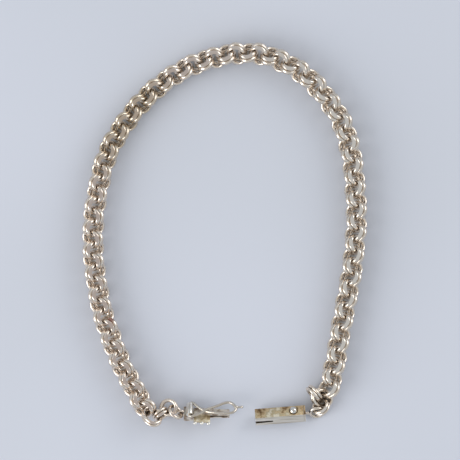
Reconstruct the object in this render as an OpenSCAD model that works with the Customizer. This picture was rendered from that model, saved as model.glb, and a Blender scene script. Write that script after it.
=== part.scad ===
// Silver chain bracelet of double-ring links, lying open, with a box clasp and a wire safety catch

/* [Chain] */
// Thickness of the link wire
wire_d = 0.74; // [0.5:0.01:0.76]
// Distance between the two turns of a link
turn_gap = 0.73; // [0.7:0.01:0.76]
// Radius of a link's two side arcs, to the middle of the wire
side_r = 2.72; // [2.7:0.01:2.75]
// Radius of a link's two end arcs, to the middle of the wire
end_r = 1.26; // [1.25:0.01:1.28]
// Roll of the links about the chain, one way and then the other
link_roll = 49; // [47:1:50]
// Rise of each link's leading end over the next
link_lean = 9; // [7:1:10]
// Number of regular links
link_count = 76; // [76:1:76]
// Links held by one node
links_per_node = 8; // [8:1:8]
// Thickness of the loose rings' wire
ring_d = 0.66; // [0.6:0.01:0.7]
// Distance between the two turns of a loose ring
ring_gap = 0.68; // [0.6:0.01:0.72]

/* [Clasp] */
// Side of the clasp's square section
clasp_side = 2.3; // [2.2:0.1:2.6]
// Roll of both clasp halves as they lie
clasp_roll = 39; // [35:1:43]
// Length of the box
box_len = 9.8; // [9.4:0.1:10.5]
// Wall of the box
box_wall = 0.3; // [0.25:0.05:0.35]
// Length of the thumb slot from the box's mouth
slot_len = 3.4; // [3.2:0.1:3.8]
// Height of the thumb slot
slot_h = 0.56; // [0.5:0.02:0.6]
// Diameter of the ball stud
stud_d = 1.56; // [1.3:0.02:1.56]
// Distance of the ball stud from the box's mouth
stud_x = 7.5; // [7.4:0.1:7.6]
// Length of the tongue's end block
block_len = 1.8; // [1.6:0.1:2]
// Length of the folded tongue
tongue_len = 7.5; // [7.2:0.1:8]
// Width of the folded tongue
tongue_w = 1.5; // [1.3:0.05:1.6]
// Thickness of the tongue's strip
strip_t = 0.3; // [0.25:0.05:0.35]
// Slope of the tongue's upper leaf
leaf_slope = 4; // [3:0.5:5]
// Length of the thumb tab along the tongue
tab_len = 3.2; // [2.9:0.1:3.3]
// Reach of the thumb tab from the tongue's middle
tab_reach = 2.9; // [2.6:0.1:3]

/* [Safety catch] */
// Diameter of the catch's wire
catch_d = 0.4; // [0.36:0.01:0.42]
// Outer diameter of the hinge tube
tube_d = 1.3; // [1.2:0.02:1.32]
// Length of the hinge tube
tube_len = 2.6; // [2.4:0.1:2.7]
// Distance from the hinge to the middle of the catch's loop
loop_x = 7.85; // [7.7:0.05:8]
// Radius of the catch's loop, to the middle of the wire
loop_r = 1.3; // [1.25:0.05:1.35]
// Lift of the catch off the tongue as it lies
catch_lift = 6; // [4:1:8]

/* [Hidden] */
$fn = 40;

silver = "#b9b0a2";
worn_silver = "#a39a8a";
tanned_silver = "#b3a07a";

// The chain's middle line on the table, from the clasp's tongue half round to its box half
route = [
    [-15.5, -33.6], [-16.7, -31.7], [-17.6, -29.9], [-18.4, -28.4], [-19.2, -27.2], [-20.9, -23.4],
    [-22.4, -19.4], [-23.9, -14.9], [-24.9, -9.6], [-25.6, -4.6], [-25.7, 0.8], [-25.4, 5.1],
    [-24.6, 9.6], [-23.6, 13.9], [-21.9, 18], [-19.3, 22.1], [-16.9, 25.2], [-13.7, 28.4],
    [-9.9, 31.3], [-5.9, 33.4], [-1.5, 34.8], [2.4, 35.5], [7.3, 35.3], [11, 34], [14.5, 32.1],
    [17.7, 29.3], [20.7, 25.6], [22.6, 22.5], [23.8, 19.2], [24.8, 14.9], [25.3, 10.4],
    [25.6, 6], [25.6, 1.6], [25.2, -3], [24.7, -7.2], [23.9, -11.5], [23.1, -15.8],
    [22.3, -19.9], [21.7, -23.8], [21, -26.7], [20.7, -28.3], [20.3, -29.9]
];
steps_per_stretch = 10;

// Moves the middle of the whole bracelet to the origin
to_middle = [0.04, -0.05, 0];

// Catmull-Rom curve through the route's points: stretch i, share t
function knot(i) = route[min(max(i, 0), len(route) - 1)];
function curve(a, b, c, d, t) =
    0.5 * (2 * b + (c - a) * t + (2 * a - 5 * b + 4 * c - d) * t * t + (3 * b - a - 3 * c + d) * t * t * t);
samples = [
    for (i = [0 : len(route) - 2])
        for (k = [0 : steps_per_stretch - 1])
            curve(knot(i - 1), knot(i), knot(i + 1), knot(i + 2), k / steps_per_stretch),
    knot(len(route) - 1)
];
function step_to(i) = i + 1 < len(samples) ? norm(samples[i + 1] - samples[i]) : 0;
run = [for (i = 0, s = 0; i < len(samples); s = s + step_to(i), i = i + 1) s];
x_along = [for (i = [0 : len(samples) - 1]) [run[i], samples[i].x]];
y_along = [for (i = [0 : len(samples) - 1]) [run[i], samples[i].y]];
function spot(s) = [lookup(s, x_along), lookup(s, y_along)];
heading_span = 0.6;
function heading(s) =
    let (way = spot(s + heading_span) - spot(s - heading_span)) atan2(way.y, way.x);
link_step = run[len(run) - 1] / (link_count - 1);

// A link's outline is an oval of four arcs: two side arcs and two end arcs that meet without a corner
side_angle = 40;
side_offset = (side_r - end_r) * cos(side_angle);
end_offset = (side_r - end_r) * sin(side_angle);

// Height of the links' middle when their lowest turns touch the table
down = [sin(link_lean), sin(link_roll) * cos(link_lean)];
chain_z = end_offset * down.y + end_r * norm(down)
        + turn_gap / 2 * cos(link_roll) * cos(link_lean) + wire_d / 2;

// Where the clasp halves lie: the middle of each mouth, and the way each half points
tongue_at = [-6.2, -34.6];
tongue_turn = 0;
box_at = [5.9, -35.5];
box_turn = 4.5;
clasp_half = clasp_side / 2;
clasp_z = clasp_half * (cos(clasp_roll) + sin(clasp_roll));

// The loose rings of both ends, from the chain to the clasp: middle, turn, lean and roll of each
left_link = [[-14.22, -35.3, 2.61], 10.8, -26, -40.3];
left_double = [[-12.42, -34.9, 1.96], 25.6, -29.9, 70.7];
left_flat_double = [[-10.93, -33.61, 2.24], 11.7, 10.5, -8.2];
left_single = [[-9.61, -34.46, 2.43], 129.4, -7.6, 56.2];
right_link = [[18.88, -31.74, 1.81], -120.8, -0.9, -30.7];
right_side_double = [[17.34, -30.8, 2.52], -46.6, -3.7, 80.8];
right_double = [[18.67, -33.47, 1.65], -3.1, 38.5, 151.5];
double_r = 1.45;
single_r = 1.37;
right_double_r = 1.5;

// The end block is lower than the box, so that the hinge tube lies on it
block_h = 1.65;
hinge_x = -0.66;
hinge_z = 1;
pin_play = 0.1;
hinge_bore_d = catch_d + pin_play;

// The block's eye and the box's eye: wire, radius, and how far the middle stands off the half's end
eye_d = 0.5;
eye_r = 0.75;
eye_reach = 0.6;
eye_x = -block_len - eye_reach;
eye_z = -0.2;
box_eye_d = 0.6;
box_eye_r = 1.3;
box_eye_reach = 2.25;
box_eye_x = box_len + box_eye_reach;
box_eye_roll = clasp_roll + 50;
stem_root = 0.1;
stem_len = box_eye_reach - box_eye_r + stem_root;

// Height of the thumb slot on the box's side, and how far every cut runs past the metal
slot_z = -0.2;
past_metal = 1;

// The folded tongue turns round its nose
nose_inner = 0.1;
nose_outer = nose_inner + strip_t;
nose_x = tongue_len - nose_outer;
nose_z = -0.3;
leaf_gap = 0.12;
leaf_len = nose_x - leaf_gap;
root_in_block = 0.2;
tab_rib_d = 0.7;

// The catch's wire, from its loop over the waist to the pins in the hinge tube
waist_angle = 18;
waist_x = loop_x - loop_r / sin(waist_angle);
past_waist = 0.6;
leg_angle = 35;
leg_bend_r = 0.8;
leg_gap = 0.3;
leg_y = tube_len / 2 + leg_gap;
pin_bend_r = 0.25;
pin_len = 0.9;
nib_len = 1.1;
nib_d = 0.6;

// Along the catch: where each bend of the wire ends, seen from the hinge
past_waist_at = [waist_x - past_waist * cos(waist_angle), past_waist * sin(waist_angle)];
steepen = leg_angle - waist_angle;
steepened_at = past_waist_at
             + leg_bend_r * [sin(waist_angle) - sin(leg_angle), cos(waist_angle) - cos(leg_angle)];
levelling_drop = leg_bend_r * (1 - cos(leg_angle));
slope_len = (leg_y - levelling_drop - steepened_at.y) / sin(leg_angle);
level_x = steepened_at.x - slope_len * cos(leg_angle) - leg_bend_r * sin(leg_angle);

// Two wires side by side, with the solder that joins them
module double_wire(r, d, gap) {
    for (side = [-1, 1])
        translate([r, side * gap / 2])
            circle(d = d);
    translate([r - d / 4, -gap / 2])
        square([d / 2, gap]);
}

// A place that must fit very finely is a move in hundredths and a small rest
module fine_move(way) {
    hundredths = 100;
    coarse = [for (v = way) round(v * hundredths) / hundredths];
    translate(coarse)
        translate(way - coarse)
            children();
}

// Each arc starts at its middle and is drawn both ways
module oval_link() {
    for (side = [0, 180]) {
        rotate([0, 0, side]) {
            for (way = [-1, 1]) {
                fine_move([-side_offset, 0, 0])
                    rotate_extrude(angle = way * side_angle)
                        double_wire(side_r, wire_d, turn_gap);
                fine_move([0, end_offset, 0])
                    rotate([0, 0, 90])
                        rotate_extrude(angle = way * (90 - side_angle))
                            double_wire(end_r, wire_d, turn_gap);
            }
        }
    }
}

module double_ring(r) {
    rotate_extrude()
        double_wire(r, ring_d, ring_gap);
}

// Puts a ring where it lies: its middle, the way it points, the lift of its leading side and its roll
module ring_place(middle, turn, lean, roll) {
    translate(middle + to_middle)
        rotate([0, 0, turn])
            rotate([0, -lean, 0])
                rotate([roll, 0, 0])
                    children();
}

module chain_link(n) {
    s = n * link_step;
    side = n % 2 == 0 ? -1 : 1;
    ring_place([spot(s).x, spot(s).y, chain_z], heading(s), link_lean, side * link_roll)
        oval_link();
}

module chain_links(part) {
    first = (part - 1) * links_per_node;
    last = min(first + links_per_node, link_count) - 1;
    color(silver)
        for (n = [first : last])
            chain_link(n);
}

module placed(place) {
    ring_place(place[0], place[1], place[2], place[3])
        children();
}

module left_end_rings() {
    color(silver) {
        placed(left_link)
            oval_link();
        placed(left_double)
            double_ring(double_r);
        placed(left_flat_double)
            double_ring(double_r);
        placed(left_single)
            wire_ring(single_r, ring_d);
    }
}

module right_end_rings() {
    color(silver) {
        placed(right_link)
            oval_link();
        placed(right_side_double)
            double_ring(right_double_r);
        placed(right_double)
            double_ring(right_double_r);
    }
}

// Both clasp halves: x runs along the half, y across it and z out of its top face
module clasp_place(point, turn) {
    translate([point.x, point.y, clasp_z] + to_middle)
        rotate([0, 0, turn])
            rotate([-clasp_roll, 0, 0])
                children();
}

module wire_ring(r, d) {
    rotate_extrude()
        translate([r, 0])
            circle(d = d);
}

module end_block() {
    translate([-block_len, -clasp_half, -clasp_half])
        cube([block_len, clasp_side, block_h]);
    translate([eye_x, 0, eye_z])
        rotate([90, 0, 0])
            wire_ring(eye_r, eye_d);
}

// Drawn on its side: x along the tongue, y out of its top face, z towards the thumb tab
module folded_tongue() {
    rotate([0, 0, -90])
        rotate_extrude(angle = 180 - leaf_slope)
            translate([nose_inner, -tongue_w / 2])
                square([strip_t, tongue_w]);
    translate([-nose_x - root_in_block, -nose_outer, -tongue_w / 2])
        cube([nose_x + root_in_block, strip_t, tongue_w]);
    rotate([0, 0, -leaf_slope]) {
        translate([-leaf_len, nose_inner, -tongue_w / 2])
            cube([leaf_len, strip_t, tongue_w]);
        translate([-leaf_len, nose_inner, 0])
            cube([tab_len, strip_t, tab_reach]);
        for (rib = [0 : 2])
            translate([-leaf_len + tab_rib_d / 2 + rib * (tab_len - tab_rib_d) / 2, nose_inner, tab_reach])
                rotate([-90, 0, 0])
                    cylinder(d = tab_rib_d, h = strip_t);
    }
}

module clasp_tongue() {
    color(worn_silver)
        clasp_place(tongue_at, tongue_turn) {
            difference() {
                union() {
                    end_block();
                    translate([hinge_x, 0, hinge_z])
                        rotate([90, 0, 0])
                            cylinder(d = tube_d, h = tube_len, center = true);
                }
                translate([hinge_x, 0, hinge_z])
                    rotate([90, 0, 0])
                        cylinder(d = hinge_bore_d, h = tube_len + past_metal, center = true);
            }
            translate([nose_x, 0, nose_z])
                rotate([90, 0, 0])
                    folded_tongue();
        }
}

module box_shell() {
    inside = clasp_side - 2 * box_wall;
    difference() {
        union() {
            translate([0, -clasp_half, -clasp_half])
                cube([box_len, clasp_side, clasp_side]);
            translate([stud_x, 0, clasp_half])
                sphere(d = stud_d);
        }
        translate([-past_metal, -inside / 2, -inside / 2])
            cube([box_len - box_wall + past_metal, inside, inside]);
        translate([-past_metal, -clasp_side, slot_z - slot_h / 2])
            cube([slot_len + past_metal, clasp_side, slot_h]);
    }
}

module clasp_box() {
    color(tanned_silver)
        clasp_place(box_at, box_turn) {
            box_shell();
            translate([box_len - stem_root, 0, 0])
                rotate([0, 90, 0])
                    cylinder(d = box_eye_d, h = stem_len);
            translate([box_eye_x, 0, 0])
                rotate([box_eye_roll, 0, 0])
                    wire_ring(box_eye_r, box_eye_d);
        }
}

// A wire that goes forward along x and turns: each step is [length, 0] or [radius, angle to the left]
module wire_path(steps, d, i = 0) {
    if (i < len(steps)) {
        size = steps[i][0];
        turn = steps[i][1];
        side = turn < 0 ? -1 : 1;
        if (turn == 0) {
            rotate([0, 90, 0])
                cylinder(d = d, h = size);
            translate([size, 0, 0])
                wire_path(steps, d, i + 1);
        } else {
            translate([0, side * size, 0])
                rotate([0, 0, turn > 0 ? -90 : 90 + turn])
                    rotate_extrude(angle = abs(turn))
                        translate([size, 0])
                            circle(d = d);
            translate([0, side * size, 0])
                rotate([0, 0, turn])
                    translate([0, -side * size, 0])
                        wire_path(steps, d, i + 1);
        }
    }
}

// One side of the figure of eight, from the nose of its loop to the pin in the hinge tube
module catch_side() {
    translate([loop_x + loop_r, 0, 0])
        rotate([0, 0, 90])
            wire_path([
                [loop_r, 90 + waist_angle],
                [(loop_x - waist_x) * cos(waist_angle) + past_waist, 0],
                [leg_bend_r, steepen],
                [slope_len, 0],
                [leg_bend_r, -leg_angle],
                [level_x - pin_bend_r, 0],
                [pin_bend_r, -90],
                [pin_len, 0]
            ], catch_d);
}

module catch_wire() {
    catch_side();
    mirror([0, 1, 0])
        catch_side();
    translate([loop_x + loop_r, 0, 0])
        rotate([0, 90, 0])
            cylinder(d = catch_d, h = nib_len);
    translate([loop_x + loop_r + nib_len, 0, 0])
        sphere(d = nib_d);
}

module safety_catch() {
    color(silver)
        clasp_place(tongue_at, tongue_turn)
            translate([hinge_x, 0, hinge_z])
                rotate([0, -catch_lift, 0])
                    catch_wire();
}

chain_links(1);  // chain_links_1
chain_links(2);  // chain_links_2
chain_links(3);  // chain_links_3
chain_links(4);  // chain_links_4
chain_links(5);  // chain_links_5
chain_links(6);  // chain_links_6
chain_links(7);  // chain_links_7
chain_links(8);  // chain_links_8
chain_links(9);  // chain_links_9
chain_links(10);  // chain_links_10
left_end_rings();
right_end_rings();
clasp_tongue();
clasp_box();
safety_catch();
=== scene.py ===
"""Silver chain bracelet lying open on a pale table, seen from above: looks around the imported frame."""

import math
import random

import bpy
from mathutils import Matrix, Vector


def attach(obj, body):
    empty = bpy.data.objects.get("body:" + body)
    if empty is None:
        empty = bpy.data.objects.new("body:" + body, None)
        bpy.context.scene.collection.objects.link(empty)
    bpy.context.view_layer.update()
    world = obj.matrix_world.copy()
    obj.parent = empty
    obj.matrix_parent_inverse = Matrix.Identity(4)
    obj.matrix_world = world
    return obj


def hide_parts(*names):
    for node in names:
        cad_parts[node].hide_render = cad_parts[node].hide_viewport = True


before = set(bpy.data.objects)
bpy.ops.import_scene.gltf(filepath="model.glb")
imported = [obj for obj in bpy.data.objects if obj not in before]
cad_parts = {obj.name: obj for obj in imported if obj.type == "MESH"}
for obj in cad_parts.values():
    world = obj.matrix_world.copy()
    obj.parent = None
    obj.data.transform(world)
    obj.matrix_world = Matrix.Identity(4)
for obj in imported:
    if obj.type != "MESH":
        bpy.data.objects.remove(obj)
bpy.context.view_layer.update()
random.seed(7)

# Sizes, in millimetres as in the CAD source
MM = 0.001
LINK_WIRE = 0.68
LINK_WIDEN = 1.32
LINK_TURN_GAP = 0.9
LINK_A = 1.6
LINK_B = 2.1
LINK_ROLL = 50
LINK_LEAN = 16
LINK_COUNT = 76
LINKS_PER_NODE = 8
LINK_WEAR = 0.27
LINK_SHIFT = 0.03
LINK_WOBBLE = 1.2
TO_MIDDLE = Vector((0.04, -0.05, 0))

# For modelling: what counts as level, doubled or facing a way, then cuts, bevels, shading and wire steps
NEARLY = 0.01
MERGE_WITHIN = 0.001
FACING = 0.9
NOT_FACING = 0.5
PAST_METAL = 1
EDGE_ANGLE = 35
EDGE_SEGMENTS = 2
SMOOTH_ANGLE = 40
WIRE_ROUNDNESS = 5
WIRE_STEPS = 12
BENT_WIRE_ROUNDNESS = 4
BENT_WIRE_STEPS = 8

# The loose rings of both ends: middle, turn, lean and roll
RING_WIRE = 0.66
RING_TURN_GAP = 0.68
RING_WEAR = 0.1
LEFT_LINK = ((-14.22, -35.3, 2.61), 10.8, -26, -40.3)
LEFT_DOUBLE = ((-12.42, -34.9, 1.96), 25.6, -29.9, 70.7)
LEFT_FLAT_DOUBLE = ((-10.93, -33.61, 2.24), 11.7, 10.5, -8.2)
LEFT_SINGLE = ((-9.61, -34.46, 2.43), 129.4, -7.6, 56.2)
RIGHT_LINK = ((18.88, -31.74, 1.81), -120.8, -0.9, -30.7)
RIGHT_SIDE_DOUBLE = ((17.34, -30.8, 2.52), -46.6, -3.7, 80.8)
RIGHT_DOUBLE = ((18.67, -33.47, 1.65), -3.1, 38.5, 151.5)
DOUBLE_R = 1.45
SINGLE_R = 1.37
RIGHT_DOUBLE_R = 1.5

# The clasp halves lie rolled on their lower edge
CLASP_SIDE = 2.3
CLASP_HALF = CLASP_SIDE / 2
CLASP_ROLL = 39
CLASP_Z = CLASP_HALF * (math.cos(math.radians(CLASP_ROLL)) + math.sin(math.radians(CLASP_ROLL)))
TONGUE_AT = (-6.2, -34.6)
TONGUE_TURN = 0
BOX_AT = (5.9, -35.5)
BOX_TURN = 4.5

# The tongue half, from its mouth end at 0: block, hinge tube, folded strip and thumb tab
BLOCK_LEN = 1.8
BLOCK_H = 1.65
BLOCK_TOP = BLOCK_H - CLASP_HALF
BLOCK_EDGE = 0.07
FILE_LINES_X = (-1.66, -1.5)
FILE_LINE_W = 0.07
FILE_LINE_DEPTH = 0.08
HINGE = Vector((-0.66, 0, 1))
TUBE_D = 1.3
TUBE_LEN = 2.6
TUBE_EDGE = 0.04
BORE_D = 0.5
SEAM_W = 0.17
SEAM_DEPTH = 0.15
TONGUE_LEN = 7.5
TONGUE_W = 1.5
STRIP_T = 0.3
STRIP_ROOT = 0.2
STRIP_EDGE = 0.05
NOSE_STEPS = 10
NOSE_OUTER = 0.4
NOSE_X = TONGUE_LEN - NOSE_OUTER
NOSE_Z = -0.3
LEAF_SLOPE = 4
LEAF_LEN = NOSE_X - 0.12
TAB_LEN = 3.2
TAB_REACH = 2.9
TAB_CLEAR = 0.1
TAB_LOBE = 0.7
TAB_LOBE_INSET = 0.08
TAB_LOBE_FLATTEN = 0.8
TAB_LOBES_X = (0.42, 1.72, 3.02)
SCALLOP_D = 0.86
SCALLOP_PAST = 0.1
TONGUE_EYE = ((-2.4, 0, -0.2), 0.75, 0.5)

# The box half, from its mouth at 0
BOX_LEN = 9.8
BOX_WALL = 0.3
BOX_EDGE = 0.06
SLOT_LEN = 3.4
SLOT_H = 0.7
SLOT_TAPER = 0.5
SLOT_Z = -0.2
LINE_W = 0.06
STUD_X = 7.5
STUD_D = 1.56
COLLAR_WIRE = 0.22
END_PLATE = 0.35
BOX_EYE_X = BOX_LEN + 2.25
BOX_EYE_R = 1.3
BOX_EYE_WIRE = 0.6
BOX_EYE_ROLL = CLASP_ROLL + 50
STEM_ROOT = 0.1

# The safety catch: wire, lift, and the balls and nib on it with their sizes and middles
CATCH_D = 0.54
CATCH_LIFT = 6
CATCH_PIN_END = (0.62, (0.02, -1.55, 0))
CATCH_NOSE = (0.78, (9.12, -0.2, 0))
CATCH_NIB = (0.42, 1.1, (9.7, -0.2, 0))
CATCH_NIB_END = (0.56, (10.2, -0.2, 0))

# The chain's middle line, from the clasp's tongue half round to its box half
ROUTE = [
    (-15.5, -33.6), (-16.7, -31.7), (-17.6, -29.9), (-18.4, -28.4), (-19.2, -27.2), (-20.9, -23.4),
    (-22.4, -19.4), (-23.9, -14.9), (-24.9, -9.6), (-25.6, -4.6), (-25.7, 0.8), (-25.4, 5.1),
    (-24.6, 9.6), (-23.6, 13.9), (-21.9, 18), (-19.3, 22.1), (-16.9, 25.2), (-13.7, 28.4),
    (-9.9, 31.3), (-5.9, 33.4), (-1.5, 34.8), (2.4, 35.5), (7.3, 35.3), (11, 34), (14.5, 32.1),
    (17.7, 29.3), (20.7, 25.6), (22.6, 22.5), (23.8, 19.2), (24.8, 14.9), (25.3, 10.4),
    (25.6, 6), (25.6, 1.6), (25.2, -3), (24.7, -7.2), (23.9, -11.5), (23.1, -15.8),
    (22.3, -19.9), (21.7, -23.8), (21, -26.7), (20.7, -28.3), (20.3, -29.9),
]
STEPS_PER_STRETCH = 10
HEADING_SPAN = 0.6


# The route as a smooth line, by length
def curve_point(a, b, c, d, t):
    return 0.5 * (2 * b + (c - a) * t + (2 * a - 5 * b + 4 * c - d) * t * t
                  + (3 * b - a - 3 * c + d) * t ** 3)


def smooth_route():
    knots = [Vector(p) for p in ROUTE]
    knots = [knots[0]] + knots + [knots[-1]]
    points = []
    for i in range(1, len(knots) - 2):
        for k in range(STEPS_PER_STRETCH):
            points.append(curve_point(*knots[i - 1:i + 3], k / STEPS_PER_STRETCH))
    points.append(knots[-1])
    lengths = [0]
    for a, b in zip(points, points[1:]):
        lengths.append(lengths[-1] + (b - a).length)
    return points, lengths


points, lengths = smooth_route()


def spot(s):
    s = min(max(s, 0), lengths[-1])
    for i in range(1, len(points)):
        if lengths[i] >= s:
            share = (s - lengths[i - 1]) / (lengths[i] - lengths[i - 1])
            return points[i - 1].lerp(points[i], share)
    return points[-1]


def heading(s):
    way = spot(s + HEADING_SPAN) - spot(s - HEADING_SPAN)
    return math.degrees(math.atan2(way.y, way.x))


# Turning and placing
def turned(x=0, y=0, z=0):
    return (Matrix.Rotation(math.radians(z), 4, "Z") @ Matrix.Rotation(math.radians(y), 4, "Y")
            @ Matrix.Rotation(math.radians(x), 4, "X"))


def moved(x, y, z):
    return Matrix.Translation(Vector((x, y, z)) * MM)


def ring_place(middle, turn, lean, roll):
    return moved(*(Vector(middle) + TO_MIDDLE)) @ turned(z=turn) @ turned(y=-lean) @ turned(x=roll)


def clasp_place(point, turn):
    return moved(*(Vector((*point, CLASP_Z)) + TO_MIDDLE)) @ turned(z=turn) @ turned(x=-CLASP_ROLL)


# Modelling by hand
def deselect():
    if bpy.context.object and bpy.context.object.mode != "OBJECT":
        bpy.ops.object.mode_set(mode="OBJECT")
    bpy.ops.object.select_all(action="DESELECT")


def only(piece):
    deselect()
    piece.select_set(True)
    bpy.context.view_layer.objects.active = piece


def start_picking(piece, kind):
    only(piece)
    bpy.ops.object.mode_set(mode="EDIT")
    bpy.ops.mesh.select_all(action="DESELECT")
    bpy.ops.mesh.select_mode(type=kind)
    bpy.ops.object.mode_set(mode="OBJECT")


def pick_faces(piece, test):
    start_picking(piece, "FACE")
    for face in piece.data.polygons:
        face.select = test(face.center / MM, face.normal)
    bpy.ops.object.mode_set(mode="EDIT")


def pick_points(piece, test):
    start_picking(piece, "VERT")
    for point in piece.data.vertices:
        point.select = test(point.co / MM)
    bpy.ops.object.mode_set(mode="EDIT")


def lay(piece, place):
    """Bakes a place into the piece's mesh, so that its object stays at the origin."""
    only(piece)
    piece.matrix_world = place
    bpy.ops.object.transform_apply(location=True, rotation=True, scale=True)


def copy_of(piece, name):
    twin = piece.copy()
    twin.data = piece.data.copy()
    twin.name = name
    bpy.context.scene.collection.objects.link(twin)
    return twin


def join(pieces, name):
    deselect()
    for piece in pieces:
        piece.select_set(True)
    bpy.context.view_layer.objects.active = pieces[0]
    bpy.ops.object.join()
    whole = bpy.context.object
    whole.name = name
    return whole


def finish_with(piece, kind, **settings):
    only(piece)
    modifier = piece.modifiers.new(kind.title(), kind)
    for name, value in settings.items():
        setattr(modifier, name, value)
    bpy.ops.object.modifier_apply(modifier=modifier.name)


def merge_doubles(piece):
    only(piece)
    bpy.ops.object.mode_set(mode="EDIT")
    bpy.ops.mesh.select_all(action="SELECT")
    bpy.ops.mesh.remove_doubles(threshold=MERGE_WITHIN * MM)
    bpy.ops.object.mode_set(mode="OBJECT")


def soften(piece, width):
    finish_with(piece, "BEVEL", width=width * MM, segments=EDGE_SEGMENTS, limit_method="ANGLE",
                angle_limit=math.radians(EDGE_ANGLE), harden_normals=False)
    merge_doubles(piece)


def smooth(piece):
    only(piece)
    bpy.ops.object.shade_smooth_by_angle(angle=math.radians(SMOOTH_ANGLE))


def block(name, size, middle):
    deselect()
    bpy.ops.mesh.primitive_cube_add(size=1, location=Vector(middle) * MM, scale=Vector(size) * MM)
    piece = bpy.context.object
    piece.name = name
    bpy.ops.object.transform_apply(location=True, rotation=True, scale=True)
    return piece


def rod(name, d, length, middle, along="X", sides=32):
    turns = {"X": (0, math.pi / 2, 0), "Y": (math.pi / 2, 0, 0), "Z": (0, 0, 0)}
    deselect()
    bpy.ops.mesh.primitive_cylinder_add(vertices=sides, radius=d / 2 * MM, depth=length * MM,
                                        location=Vector(middle) * MM, rotation=turns[along])
    piece = bpy.context.object
    piece.name = name
    bpy.ops.object.transform_apply(location=True, rotation=True, scale=True)
    return piece


def ring(name, r, d, segments=48, sides=16):
    deselect()
    bpy.ops.mesh.primitive_torus_add(major_radius=r * MM, minor_radius=d / 2 * MM,
                                     major_segments=segments, minor_segments=sides)
    piece = bpy.context.object
    piece.name = name
    return piece


def cut(piece, tool):
    finish_with(piece, "BOOLEAN", object=tool, operation="DIFFERENCE", solver="EXACT")
    bpy.data.objects.remove(tool)


def bent_wire(name, path, d):
    """A round wire along a smooth path of points in millimetres, with closed ends."""
    line = bpy.data.curves.new(name, "CURVE")
    line.dimensions = "3D"
    line.bevel_depth = d / 2 * MM
    line.bevel_resolution = BENT_WIRE_ROUNDNESS
    line.use_fill_caps = True
    spline = line.splines.new("BEZIER")
    spline.bezier_points.add(len(path) - 1)
    for knot, point in zip(spline.bezier_points, path):
        knot.co = Vector(point) * MM
        knot.handle_left_type = "AUTO"
        knot.handle_right_type = "AUTO"
    spline.resolution_u = BENT_WIRE_STEPS
    piece = bpy.data.objects.new(name, line)
    bpy.context.scene.collection.objects.link(piece)
    only(piece)
    bpy.ops.object.convert(target="MESH")
    piece = bpy.context.object
    merge_doubles(piece)
    return piece


# Shader maths
HOLLOW_SAMPLES = 8


class Value:
    """A node's output that can stand in a sum."""

    def __init__(self, finish, socket):
        self.finish = finish
        self.socket = socket

    def maths(self, operation, a, b):
        return self.finish.node("ShaderNodeMath", {"operation": operation}, {0: a, 1: b})

    def __add__(self, other):
        return self.maths("ADD", self, other)

    def __radd__(self, other):
        return self.maths("ADD", other, self)

    def __sub__(self, other):
        return self.maths("SUBTRACT", self, other)

    def __rsub__(self, other):
        return self.maths("SUBTRACT", other, self)

    def __mul__(self, other):
        return self.maths("MULTIPLY", self, other)

    def __rmul__(self, other):
        return self.maths("MULTIPLY", other, self)


class Finish:
    """A procedural material and the nodes that make it."""

    def __init__(self, name):
        self.material = bpy.data.materials.new(name)
        self.material.use_nodes = True
        self.tree = self.material.node_tree
        self.shader = self.tree.nodes["Principled BSDF"]

    def node(self, kind, settings=None, inputs=None, output=0):
        node = self.tree.nodes.new(kind)
        for name, value in (settings or {}).items():
            if name == "stops":
                for k, (position, colour) in enumerate(value):
                    if k >= len(node.color_ramp.elements):
                        node.color_ramp.elements.new(position)
                    node.color_ramp.elements[k].position = position
                    node.color_ramp.elements[k].color = (*colour, 1)
            else:
                setattr(node, name, value)
        for name, value in (inputs or {}).items():
            self.put(node.inputs[name], value)
        return Value(self, node.outputs[output])

    def put(self, socket, value):
        if isinstance(value, Value):
            self.tree.links.new(value.socket, socket)
        elif socket.type == "RGBA":
            socket.default_value = (*value, 1)
        else:
            socket.default_value = value

    def set(self, **inputs):
        for name, value in inputs.items():
            self.put(self.shader.inputs[name.replace("_", " ").title()], value)

    def place(self):
        return self.node("ShaderNodeTexCoord", output="Object")

    def noise(self, scale, detail=2, stretch=None):
        where = self.place()
        if stretch:
            where = self.node("ShaderNodeMapping", None, {"Vector": where, "Scale": stretch})
        return self.node("ShaderNodeTexNoise", None, {"Vector": where, "Scale": scale, "Detail": detail})

    def between(self, value, low, high):
        return self.node("ShaderNodeMapRange", {"interpolation_type": "SMOOTHSTEP"},
                         {"Value": value, "From Min": low, "From Max": high})

    def mix(self, share, a, b):
        node = self.tree.nodes.new("ShaderNodeMix")
        node.data_type = "RGBA"
        self.put(node.inputs[0], share)
        self.put(node.inputs[6], a)
        self.put(node.inputs[7], b)
        return Value(self, node.outputs[2])

    def hollow(self, reach):
        """0 out in the open, up to 1 deep in a groove or between links."""
        open_to = self.node("ShaderNodeAmbientOcclusion", {"samples": HOLLOW_SAMPLES},
                            {"Distance": reach * MM}, output="AO")
        return 1 - open_to

    def near(self, point, close, far):
        """1 within the first distance of a point in millimetres, down to 0 at the second."""
        away = self.node("ShaderNodeVectorMath", {"operation": "DISTANCE"},
                         {0: self.place(), 1: Vector(point) * MM}, output="Value")
        return 1 - self.between(away, close * MM, far * MM)

    def bump(self, height, depth):
        self.set(normal=self.node("ShaderNodeBump", None, {"Height": height, "Distance": depth * MM}))


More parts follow.
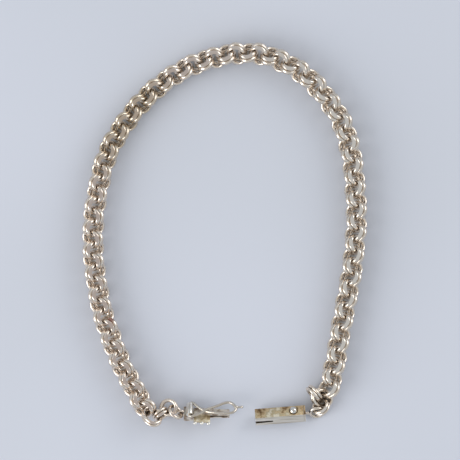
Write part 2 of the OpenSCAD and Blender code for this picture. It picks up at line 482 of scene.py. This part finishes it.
# The silver's grain, as noise scales per metre, and the reach of its painted shade by links and grooves and
# of its stains in millimetres
PATCH_SCALE = 420
PATCH_SHARE = 0.3
SCRATCH_SCALE = 3500
SCRATCH_DEPTH = 0.003
GRAIN_SCALE = 9000
GRAIN_SHARE = 0.06
LINK_HOLLOW = 1.1
GROOVE = 0.35
CHAIN_LEFT_X = -12
CHAIN_RIGHT_X = 22
BROWN_STRETCH = (-20, 23, 2)
BROWN_REACH = (5, 16)
BROWN = (0.58, 0.48, 0.34)
RED_SPOT = (-22.2, -16.8, 3.5)
RED_REACH = (0.4, 1)
RED = (0.3, 0.09, 0.05)

# How much of the bright silver the tarnish and painted shade between links and in grooves, and the stains,
# take, and how much rougher the tarnished, shaded hollows are
TARNISH_AND_SHADE_SHARE = 0.6
GROOVE_SHARE = 0.7
GROOVE_RANGE = (0.25, 0.65)
BROWN_SHARE = 0.55
RED_SHARE = 0.8
DIRT_ROUGH = 0.2


# tarnish is the darker colour, which stands for both tarnish and painted shade
def old_silver(name, bright, tarnish, start, full, rough=0.26, far_bright=None):
    """Worn silver: bright where it rubs, brown in soft tarnish patches, and darker between links and in the
    grooves, where tarnish and painted shade are mixed.

    far_bright is the chain's colour towards its right side. The chain is browner at its upper left, and has
    one small reddish stain."""
    finish = Finish(name)
    patch = finish.noise(PATCH_SCALE, 3)
    grain = finish.noise(GRAIN_SCALE, 2)
    # painted shade mixed with tarnish: darker where neighbouring links and grooves hide the metal, with soft
    # tarnish patches
    depth = finish.hollow(LINK_HOLLOW) + PATCH_SHARE * (patch - 0.5)
    groove = finish.between(finish.hollow(GROOVE), *GROOVE_RANGE)
    tarnish_and_shade = TARNISH_AND_SHADE_SHARE * finish.between(depth, start, full) + GROOVE_SHARE * groove
    if far_bright:
        across = finish.node("ShaderNodeSeparateXYZ", None, {"Vector": finish.place()})
        rightness = finish.between(across, CHAIN_LEFT_X * MM, CHAIN_RIGHT_X * MM)
        bright = finish.mix(rightness, bright, far_bright)
        brown = BROWN_SHARE * finish.near(BROWN_STRETCH, *BROWN_REACH)
        bright = finish.mix(brown, bright, BROWN)
    # towards the darker colour where tarnish and painted shade fall
    colour = finish.mix(tarnish_and_shade, bright, tarnish)
    if far_bright:
        red = RED_SHARE * finish.near(RED_SPOT, *RED_REACH)
        colour = finish.mix(red, colour, RED)
    finish.set(metallic=1.0)
    finish.set(base_color=colour)
    finish.set(roughness=rough + DIRT_ROUGH * tarnish_and_shade + GRAIN_SHARE * (grain - 0.5))
    finish.bump(finish.noise(SCRATCH_SCALE, 3), SCRATCH_DEPTH)
    return finish.material


chain_metal = old_silver("chain_silver", (0.84, 0.74, 0.64), (0.18, 0.11, 0.055), 0.35, 0.9, rough=0.27,
                         far_bright=(0.81, 0.72, 0.62))
worn_metal = old_silver("worn_flat_silver", (0.68, 0.6, 0.56), (0.36, 0.28, 0.2), 0.55, 0.95, rough=0.32,
                        far_bright=(0.86, 0.85, 0.82))
tube_metal = old_silver("tube_silver", (0.9, 0.87, 0.8), (0.3, 0.22, 0.14), 0.6, 1, rough=0.28)
stud_metal = old_silver("stud_silver", (0.72, 0.7, 0.66), (0.16, 0.12, 0.08), 0.5, 0.9, rough=0.1)
# near-black silver: painted shade for the box's hollow and slot and for the crease at the stud's foot
painted_shade_metal = old_silver("painted_shade_silver", (0.1, 0.07, 0.045), (0.03, 0.02, 0.012), 0.2, 0.7, rough=0.6)
catch_metal = old_silver("catch_silver", (0.66, 0.6, 0.52), (0.2, 0.14, 0.08), 0.3, 0.85)


# The clasp's blotched silver: how rough it is, the reach and colour of the tarnish and painted shade in its
# grooves, and how fine its relief is
MOTTLED_ROUGH = 0.42
MOTTLED_DIRT_ROUGH = 0.15
MOTTLED_BLOTCH_ROUGH = 0.3
MOTTLED_GROOVE = 0.8
MOTTLED_GROOVE_RANGE = (0.35, 0.9)
MOTTLED_TARNISH_AND_SHADE = (0.12, 0.08, 0.045)
MOTTLED_RELIEF_SCALE = 2.5


def mottled_silver(name, tones, size, stretch=None, relief=0.02):
    """Silver with blotches of tarnish about as large as size, in millimetres, running into each other."""
    finish = Finish(name)
    blotch = finish.noise(1 / (size * MM), 5, stretch)
    colour = finish.node("ShaderNodeValToRGB", {"stops": tones}, {"Fac": blotch})
    # darker in grooves and hollows: tarnish mixed with painted shade
    tarnish_and_shade = finish.between(finish.hollow(MOTTLED_GROOVE), *MOTTLED_GROOVE_RANGE)
    finish.set(metallic=1.0)
    finish.set(base_color=finish.mix(tarnish_and_shade, colour, MOTTLED_TARNISH_AND_SHADE))
    finish.set(roughness=MOTTLED_ROUGH + MOTTLED_DIRT_ROUGH * tarnish_and_shade + MOTTLED_BLOTCH_ROUGH * (blotch - 0.5))
    finish.bump(finish.noise(MOTTLED_RELIEF_SCALE / (size * MM), 4, stretch), relief)
    return finish.material


BOX_TOP_TONES = [
    (0.34, (0.2, 0.12, 0.06)), (0.42, (0.5, 0.34, 0.18)), (0.5, (0.78, 0.61, 0.38)),
    (0.56, (0.58, 0.46, 0.27)), (0.64, (0.88, 0.79, 0.62)),
]
BOX_SIDE_TONES = [(0.34, (0.52, 0.45, 0.35)), (0.46, (0.76, 0.7, 0.6)), (0.6, (0.86, 0.81, 0.73))]
TONGUE_TONES = [(0.36, (0.3, 0.21, 0.14)), (0.47, (0.56, 0.46, 0.36)), (0.6, (0.82, 0.76, 0.67))]
TAB_TONES = [(0.34, (0.32, 0.22, 0.12)), (0.46, (0.6, 0.48, 0.3)), (0.62, (0.82, 0.73, 0.56))]
box_metal = mottled_silver("box_silver", BOX_SIDE_TONES, 0.5, stretch=(0.06, 1, 1), relief=0.01)
tan_metal = mottled_silver("box_top_silver", BOX_TOP_TONES, 1.3)
tongue_metal = mottled_silver("tongue_silver", TONGUE_TONES, 0.9)
tab_metal = mottled_silver("tab_silver", TAB_TONES, 0.8)


def painted(piece, *metals):
    piece.data.materials.clear()
    for metal in metals:
        piece.data.materials.append(metal)
    return piece


def paint_faces(piece, slot, test):
    pick_faces(piece, test)
    piece.active_material_index = slot
    bpy.ops.object.material_slot_assign()
    bpy.ops.object.mode_set(mode="OBJECT")


# The links: two turns of wire, rolled and leaned as they lie, their tops worn flat
def turns_of_wire(name, a, b, d=RING_WIRE, gap=RING_TURN_GAP, turns=2, widen=1):
    """Closed turns over each other; widen makes the wire's section broader along the ring's own axis."""
    deselect()
    bpy.ops.curve.primitive_bezier_circle_add(radius=MM)
    wire = bpy.context.object
    wire.scale = (a, b, 1)
    bpy.ops.object.transform_apply(location=True, rotation=True, scale=True)
    for knot in wire.data.splines[0].bezier_points:
        knot.radius = 1
    wire.data.dimensions = "3D"
    wire.data.bevel_depth = d / 2 * MM
    wire.data.bevel_resolution = WIRE_ROUNDNESS
    wire.data.resolution_u = WIRE_STEPS
    bpy.ops.object.convert(target="MESH")
    piece = bpy.context.object
    piece.scale = (1, 1, widen)
    bpy.ops.object.transform_apply(location=True, rotation=True, scale=True)
    if turns == 2:
        twin = copy_of(piece, "second_turn")
        lay(piece, moved(0, 0, gap / 2))
        lay(twin, moved(0, 0, -gap / 2))
        piece = join([piece, twin], name)
    return painted(piece, chain_metal, worn_metal)


def wear_top(piece, depth):
    """Presses the highest metal down level, as wear leaves it, and gives that flat its own silver."""
    level = max(v.co.z for v in piece.data.vertices) / MM - depth
    pick_points(piece, lambda at: at.z > level)
    bpy.ops.transform.resize(value=(1, 1, 0), center_override=(0, 0, level * MM))
    bpy.ops.object.mode_set(mode="OBJECT")
    paint_faces(piece, 1, lambda at, way: at.z > level - NEARLY)


def chain_link(side):
    piece = turns_of_wire("link_pattern", LINK_A, LINK_B, LINK_WIRE, LINK_TURN_GAP, widen=LINK_WIDEN)
    lay(piece, moved(0, -side * LINK_SHIFT, 0) @ turned(y=-LINK_LEAN) @ turned(x=side * LINK_ROLL))
    wear_top(piece, LINK_WEAR)
    return piece


patterns = {side: chain_link(side) for side in (-1, 1)}
chain_z = -min(v.co.z for v in patterns[1].data.vertices) / MM
link_step = lengths[-1] / (LINK_COUNT - 1)
for part in range(math.ceil(LINK_COUNT / LINKS_PER_NODE)):
    links = []
    for n in range(part * LINKS_PER_NODE, min((part + 1) * LINKS_PER_NODE, LINK_COUNT)):
        s = n * link_step
        link = copy_of(patterns[-1 if n % 2 == 0 else 1], f"link_{n}")
        where = spot(s)
        tip, twist = (random.uniform(-LINK_WOBBLE, LINK_WOBBLE) for _ in range(2))
        lay(link, moved(where.x + TO_MIDDLE.x, where.y + TO_MIDDLE.y, chain_z)
            @ turned(x=tip, z=heading(s) + twist))
        links.append(link)
    chain = join(links, f"chain_silver_{part + 1}")
    smooth(chain)
    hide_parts(f"chain_links_{part + 1}")
    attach(chain, "bracelet")
for pattern in patterns.values():
    bpy.data.objects.remove(pattern)


# The loose rings that join the chain to the clasp
def loose_ring(name, place, r, turns=2):
    piece = turns_of_wire(name, r, r, turns=turns)
    lay(piece, ring_place(*place))
    wear_top(piece, RING_WEAR)
    return piece


def loose_link(name, place):
    piece = turns_of_wire(name, LINK_A, LINK_B)
    lay(piece, ring_place(*place))
    wear_top(piece, RING_WEAR)
    return piece


def end_rings(name, node, rings):
    piece = join(rings, name)
    smooth(piece)
    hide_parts(node)
    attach(piece, "bracelet")


end_rings("left_rings_silver", "left_end_rings", [
    loose_link("left_link", LEFT_LINK),
    loose_ring("left_double", LEFT_DOUBLE, DOUBLE_R),
    loose_ring("left_flat_double", LEFT_FLAT_DOUBLE, DOUBLE_R),
    loose_ring("left_single", LEFT_SINGLE, SINGLE_R, turns=1),
])
end_rings("right_rings_silver", "right_end_rings", [
    loose_link("right_link", RIGHT_LINK),
    loose_ring("right_side_double", RIGHT_SIDE_DOUBLE, RIGHT_DOUBLE_R),
    loose_ring("right_double", RIGHT_DOUBLE, RIGHT_DOUBLE_R),
])


# The clasp's tongue half
def ball(name, d, middle, flatten=1):
    deselect()
    bpy.ops.mesh.primitive_uv_sphere_add(segments=28, ring_count=16, radius=d / 2 * MM,
                                         location=Vector(middle) * MM, scale=(1, 1, flatten))
    piece = bpy.context.object
    piece.name = name
    bpy.ops.object.transform_apply(location=True, rotation=True, scale=True)
    return piece


def end_block():
    piece = block("end_block", (BLOCK_LEN, CLASP_SIDE, BLOCK_H), (-BLOCK_LEN / 2, 0, BLOCK_TOP - BLOCK_H / 2))
    for x in FILE_LINES_X:
        file_line = (FILE_LINE_W, CLASP_SIDE + PAST_METAL, 2 * FILE_LINE_DEPTH)
        cut(piece, block("file_line", file_line, (x, 0, BLOCK_TOP)))
    soften(piece, BLOCK_EDGE)
    return piece


def hinge_tube():
    piece = rod("hinge_tube", TUBE_D, TUBE_LEN, HINGE, along="Y", sides=40)
    cut(piece, rod("bore", BORE_D, TUBE_LEN + PAST_METAL, HINGE, along="Y"))
    seam = (SEAM_W, TUBE_LEN + PAST_METAL, 2 * SEAM_DEPTH)
    cut(piece, block("seam", seam, HINGE + Vector((0, 0, TUBE_D / 2))))
    soften(piece, TUBE_EDGE)
    return piece


def folded_tongue():
    """A strip from the block to the nose, bent back over itself, with the thumb tab beside its free end."""
    piece = block("folded_tongue", (NOSE_X + STRIP_ROOT, TONGUE_W, STRIP_T),
                  ((NOSE_X - STRIP_ROOT) / 2, 0, NOSE_Z - NOSE_OUTER + STRIP_T / 2))
    pick_faces(piece, lambda at, way: way.x > FACING)
    bpy.ops.mesh.spin(steps=NOSE_STEPS, angle=math.radians(180 - LEAF_SLOPE),
                      center=(NOSE_X * MM, 0, NOSE_Z * MM), axis=(0, -1, 0))
    slope = math.radians(LEAF_SLOPE)
    for step in (LEAF_LEN - TAB_LEN, TAB_LEN):
        back = Vector((-math.cos(slope), 0, math.sin(slope))) * step * MM
        bpy.ops.mesh.extrude_region_move(TRANSFORM_OT_translate={"value": back})
    bpy.ops.object.mode_set(mode="OBJECT")
    pick_faces(piece, lambda at, way: way.y < -FACING and at.z > NOSE_Z and at.x < TAB_LEN + TAB_CLEAR)
    reach = (TAB_REACH - TONGUE_W / 2) * MM
    bpy.ops.mesh.extrude_region_move(TRANSFORM_OT_translate={"value": (0, -reach, 0)})
    bpy.ops.object.mode_set(mode="OBJECT")
    for a, b in zip(TAB_LOBES_X, TAB_LOBES_X[1:]):
        middle = ((a + b) / 2, -TAB_REACH - SCALLOP_PAST, 0)
        cut(piece, rod("scallop", SCALLOP_D, TAB_LEN, middle, along="Z"))
    soften(piece, STRIP_EDGE)
    return piece


def leaf_height(x):
    """The middle of the upper leaf, which climbs from the nose back to its free end."""
    return NOSE_Z + NOSE_OUTER - STRIP_T / 2 + (NOSE_X - x) * math.tan(math.radians(LEAF_SLOPE))


def tab_lobes():
    lobes = []
    for x in TAB_LOBES_X:
        middle = (x, -TAB_REACH + TAB_LOBE_INSET, leaf_height(x))
        lobes.append(ball("tab_lobe", TAB_LOBE, middle, flatten=TAB_LOBE_FLATTEN))
    return lobes


def tongue_eye():
    middle, r, d = TONGUE_EYE
    piece = ring("tongue_eye", r, d)
    lay(piece, moved(*middle) @ turned(x=90))
    return piece


strip = painted(folded_tongue(), tongue_metal, tab_metal)
paint_faces(strip, 1, lambda at, way: at.y < -TONGUE_W / 2 - TAB_CLEAR)
tongue = join([
    strip,
    painted(join(tab_lobes(), "tab_lobes"), tube_metal),
    painted(end_block(), tongue_metal),
    painted(hinge_tube(), tube_metal),
    painted(tongue_eye(), chain_metal),
], "tongue_silver")
lay(tongue, clasp_place(TONGUE_AT, TONGUE_TURN))
smooth(tongue)
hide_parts("clasp_tongue")
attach(tongue, "bracelet")


# The clasp's box half
def box_body():
    piece = block("box_body", (BOX_LEN, CLASP_SIDE, CLASP_SIDE), (BOX_LEN / 2, 0, 0))
    pick_faces(piece, lambda at, way: way.x < -FACING)
    bpy.ops.mesh.inset(thickness=BOX_WALL * MM)
    bpy.ops.mesh.extrude_region_move(TRANSFORM_OT_translate={"value": ((BOX_LEN - BOX_WALL) * MM, 0, 0)})
    bpy.ops.object.mode_set(mode="OBJECT")
    slot = block("slot", (SLOT_LEN + PAST_METAL, CLASP_SIDE, SLOT_H),
                 ((SLOT_LEN - PAST_METAL) / 2, -CLASP_SIDE / 2 - BOX_WALL, SLOT_Z))
    pick_faces(slot, lambda at, way: way.x > FACING)
    bpy.ops.transform.resize(value=(1, 1, SLOT_TAPER))
    bpy.ops.object.mode_set(mode="OBJECT")
    cut(piece, slot)
    line_at = (BOX_LEN - END_PLATE, 0, 0)
    outside = CLASP_SIDE + PAST_METAL
    inside = CLASP_SIDE - 2 * LINE_W
    rim = block("plate_line", (LINE_W, outside, outside), line_at)
    cut(rim, block("plate_core", (PAST_METAL, inside, inside), line_at))
    cut(piece, rim)
    soften(piece, BOX_EDGE)
    return piece


def inside_box(at, way):
    """True for the faces of the box's hollow and of its slot."""
    inner = CLASP_HALF - BOX_WALL + NEARLY
    in_hollow = abs(at.y) < inner and abs(at.z) < inner
    beside_slot = at.y < 0 and at.x < SLOT_LEN + NEARLY and abs(at.z - SLOT_Z) < SLOT_H
    return in_hollow or (beside_slot and abs(way.y) < NOT_FACING)


def ball_stud():
    stud = painted(ball("ball_stud", STUD_D, (STUD_X, 0, CLASP_HALF)), stud_metal)
    collar = ring("stud_collar", STUD_D / 2, COLLAR_WIRE, segments=40, sides=10)
    # the collar is painted shade in the crease at the stud's foot
    lay(painted(collar, painted_shade_metal), moved(STUD_X, 0, CLASP_HALF))
    return join([stud, collar], "ball_stud")


def box_eye():
    stem = rod("box_stem", BOX_EYE_WIRE, BOX_EYE_X - BOX_LEN - BOX_EYE_R + STEM_ROOT,
               ((BOX_LEN + BOX_EYE_X - BOX_EYE_R - STEM_ROOT) / 2, 0, 0))
    eye = ring("box_eye", BOX_EYE_R, BOX_EYE_WIRE)
    lay(eye, moved(BOX_EYE_X, 0, 0) @ turned(x=BOX_EYE_ROLL))
    return join([stem, eye], "box_eye")


body = painted(box_body(), box_metal, tan_metal, painted_shade_metal)
paint_faces(body, 1, lambda at, way: way.z > FACING and at.z > CLASP_HALF - NEARLY)
# the box's hollow and its slot get the near-black painted shade
paint_faces(body, 2, inside_box)
box = join([body, ball_stud(), painted(box_eye(), chain_metal)], "box_silver")
lay(box, clasp_place(BOX_AT, BOX_TURN))
smooth(box)
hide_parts("clasp_box")
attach(box, "bracelet")

# The safety catch: a wire from pin to pin that crosses itself at the waist
CATCH_PATH = [
    (0, -0.9, 0), (0, -1.4, 0), (0.2, -1.64, 0), (0.8, -1.6, 0.02), (2.2, -1.15, 0.08), (3.1, -0.5, 0.18),
    (4.1, -0.05, 0.1), (5.3, 0.45, 0), (7.1, 1.1, 0), (7.7, 1.12, 0), (8.3, 0.8, 0), (8.85, 0.15, 0),
    (9.1, -0.35, 0), (8.9, -0.95, 0), (8.4, -1.4, 0), (7.6, -1.5, 0), (6.3, -1.38, 0), (4.2, -0.95, -0.06),
    (3.1, -0.5, -0.14), (2.3, -0.05, -0.08), (1.3, 0.85, 0), (0.8, 1.4, 0), (0.3, 1.62, 0),
    (0, 1.4, 0), (0, 0.9, 0),
]
catch_parts = [
    bent_wire("catch_wire", CATCH_PATH, CATCH_D),
    ball("catch_pin_end", *CATCH_PIN_END),
    ball("catch_nose", *CATCH_NOSE),
    rod("catch_nib", *CATCH_NIB),
    ball("catch_nib_end", *CATCH_NIB_END),
]
catch = join([painted(piece, catch_metal) for piece in catch_parts], "catch_silver")
lay(catch, clasp_place(TONGUE_AT, TONGUE_TURN) @ moved(*HINGE) @ turned(y=-CATCH_LIFT))
smooth(catch)
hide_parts("safety_catch")
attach(catch, "safety_catch")


# Table with its painted shade under the links, lamps with their watts, and camera: in metres, with the lens
# in millimetres, the elevation in degrees
TABLE_SIZE = 3
TABLE_DROP = 0.00002
TABLE_DARKER = (0.62, 0.645, 0.71)
TABLE_LIGHTER = (0.65, 0.675, 0.75)
TABLE_ROUGH = 0.7
TABLE_SHADE_SCALE = 14
TABLE_SHADE_RANGE = (0.3, 0.7)
# painted shade: the table's darker, browner colour close to and under the links, reaching that many
# millimetres
TABLE_SHADE_UNDER_LINKS = (0.6, 0.56, 0.48)
SHADE_UNDER_LINKS_MM = 3
SHADE_UNDER_LINKS_RANGE = (0.5, 0.9)
WINDOW_LAMP = ((-0.6, -0.3, 0.36), 3.2)
FAR_WINDOW_LAMP = ((0.6, 0.4, 0.36), 2.1)
LAMP_SIZE = 0.6
LAMP_COLOUR = (1, 0.98, 0.96)
VIEW_MIDDLE = (0.00102, 0.00093, 0.002)
VIEW_WIDTH = 0.0897
VIEW_DISTANCE = 0.6
VIEW_ELEVATION = 88
LENS = 85
WALLS = (0.13, 0.1, 0.08)
WINDOWS = (0.62, 0.69, 0.76)
CEILING = (0.54, 0.52, 0.5)
ROOM_STOPS = [(0.05, WALLS), (0.24, WINDOWS), (0.62, WINDOWS), (0.86, CEILING)]


def table_top():
    deselect()
    bpy.ops.mesh.primitive_plane_add(size=TABLE_SIZE, location=(0, 0, -TABLE_DROP))
    floor = bpy.context.object
    floor.name = "table_top"
    finish = Finish("pale_table")
    shade = finish.between(finish.noise(TABLE_SHADE_SCALE, 1), *TABLE_SHADE_RANGE)
    colour = finish.mix(shade, TABLE_DARKER, TABLE_LIGHTER)
    # painted shade where the links hide the table
    painted_shade_under_links = finish.between(finish.hollow(SHADE_UNDER_LINKS_MM), *SHADE_UNDER_LINKS_RANGE)
    finish.set(base_color=finish.mix(painted_shade_under_links, colour, TABLE_SHADE_UNDER_LINKS), roughness=TABLE_ROUGH)
    floor.data.materials.append(finish.material)


def soft_light(name, at, power):
    light = bpy.data.lights.new(name, "AREA")
    light.shape = "DISK"
    light.size = LAMP_SIZE
    light.energy = power
    light.color = LAMP_COLOUR
    lamp = bpy.data.objects.new(name, light)
    lamp.location = at
    lamp.rotation_euler = (-Vector(at)).to_track_quat("-Z", "Y").to_euler()
    bpy.context.scene.collection.objects.link(lamp)


def photo_camera():
    camera = bpy.data.cameras.new("camera")
    camera.lens = LENS
    camera.sensor_width = camera.lens * VIEW_WIDTH / VIEW_DISTANCE
    camera.sensor_fit = "HORIZONTAL"
    camera.clip_start = 0.01
    view = bpy.data.objects.new("camera", camera)
    up = math.radians(VIEW_ELEVATION)
    view.location = Vector(VIEW_MIDDLE) + VIEW_DISTANCE * Vector((0, -math.cos(up), math.sin(up)))
    view.rotation_euler = (math.pi / 2 - up, 0, 0)
    bpy.context.scene.collection.objects.link(view)
    bpy.context.scene.camera = view


def room():
    """A band of bright windows all round, between a dimmer ceiling and dark walls below it.

    The ceiling is what the worn flats mirror; the walls give the wires their dark rims."""
    world = bpy.data.worlds.new("room")
    world.use_nodes = True
    nodes = world.node_tree.nodes
    links = world.node_tree.links
    way = nodes.new("ShaderNodeTexCoord")
    split = nodes.new("ShaderNodeSeparateXYZ")
    ramp = nodes.new("ShaderNodeValToRGB")
    stops = ramp.color_ramp.elements
    for _ in ROOM_STOPS[2:]:
        stops.new(1)
    for stop, (position, colour) in zip(stops, ROOM_STOPS):
        stop.position = position
        stop.color = (*colour, 1)
    links.new(way.outputs["Generated"], split.inputs["Vector"])
    links.new(split.outputs["Z"], ramp.inputs["Fac"])
    links.new(ramp.outputs["Color"], nodes["Background"].inputs["Color"])
    nodes["Background"].inputs["Strength"].default_value = 1
    bpy.context.scene.world = world


table_top()
soft_light("window", *WINDOW_LAMP)
soft_light("far_window", *FAR_WINDOW_LAMP)
room()
bpy.context.scene.view_settings.view_transform = "Standard"
photo_camera()
